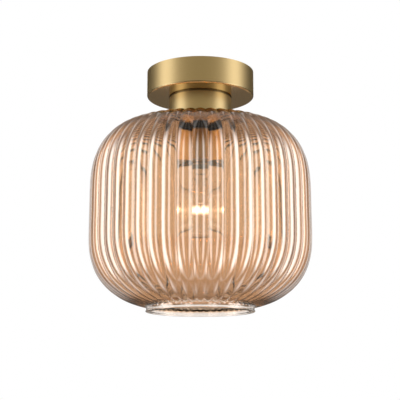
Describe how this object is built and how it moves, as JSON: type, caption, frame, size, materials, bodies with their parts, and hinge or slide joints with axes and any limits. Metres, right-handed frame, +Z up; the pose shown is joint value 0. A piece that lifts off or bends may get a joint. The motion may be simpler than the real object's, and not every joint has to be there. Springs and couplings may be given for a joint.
{
  "type": "flush mount ceiling light",
  "caption": "Flush mount ceiling light: round brass canopy and neck, bell shade of reeded amber glass open at the bottom, brass socket cup and clear screw-in bulb.",
  "frame": {"origin": "centre of the mounting bracket's back face, in the plane of the ceiling", "axes": "+Z points up into the ceiling along the axis of the light; the light hangs towards -Z; -Y is the front; the bracket's two screw slots lie on X"},
  "size_m": [0.2446, 0.2446, 0.2712],
  "materials": {
    "satin_brass": "brushed and lacquered",
    "plain_brass": "turned",
    "bronze": "rolled",
    "blackened_steel": "blackened",
    "zinc_steel": "zinc plated",
    "tinned_copper": "tinned",
    "white_nylon": "moulded",
    "black_plastic": "moulded",
    "black_rubber": "moulded",
    "amber_glass": "pressed, amber",
    "clear_glass": "clear",
    "black_glass": "glazed",
    "white_porcelain": "glazed",
    "brown_lead": "silicone",
    "blue_lead": "silicone",
    "green_lead": "silicone",
    "nickel_cap": "nickel plated",
    "solder": "soldered",
    "nickel_wire": "drawn",
    "tungsten": "coiled, lit"
  },
  "bodies": {
    "fixture": {"canopy": "satin_brass", "neck": "satin_brass", "socket_cup": "satin_brass", "canopy_grub_screws": "blackened_steel", "mounting_bracket": "zinc_steel", "earth_screw": "zinc_steel", "strap_earth_tag": "tinned_copper", "canopy_earth_tag": "tinned_copper", "terminal_block": "white_nylon", "terminal_sleeves": "plain_brass", "terminal_screws": "zinc_steel", "terminal_block_screws": "zinc_steel", "threaded_nipple": "zinc_steel", "nipple_bush": "black_plastic", "canopy_washer": "zinc_steel", "canopy_nut": "plain_brass", "upper_gasket": "black_rubber", "glass_shade": "amber_glass", "lower_gasket": "black_rubber", "cup_washer": "zinc_steel", "cup_nut": "plain_brass", "lampholder_bridge": "zinc_steel", "lampholder_body": "white_porcelain", "lampholder_screws": "zinc_steel", "lampholder_shell": "plain_brass", "centre_contact": "bronze", "lampholder_terminals": "plain_brass", "lampholder_terminal_screws": "zinc_steel", "live_lead": "brown_lead", "neutral_lead": "blue_lead", "canopy_earth_lead": "green_lead", "strap_earth_lead": "green_lead"},
    "bulb_travel": {"bulb_contact": "solder"},
    "bulb": {"bulb_glass": "clear_glass", "bulb_cap": "nickel_cap", "bulb_insulator": "black_glass", "bulb_stem": "clear_glass", "bulb_lead_wires": "nickel_wire", "bulb_support_wires": "nickel_wire", "bulb_filament": "tungsten"}
  },
  "joints": [
    {"name": "bulb_lower", "type": "slide", "parent": "fixture", "child": "bulb_travel", "axis": [0, 0, -1], "range_m": [0, 0.01452]},
    {"name": "bulb_unscrew", "type": "hinge", "parent": "bulb_travel", "child": "bulb", "pos_m": [0, 0, -0.095], "axis": [0, 0, -1], "range_deg": [0, 1440]}
  ],
  "couplings": [
    {"joint": "bulb_lower", "follows": "bulb_unscrew", "m_per_rad": 0.00057757}
  ]
}
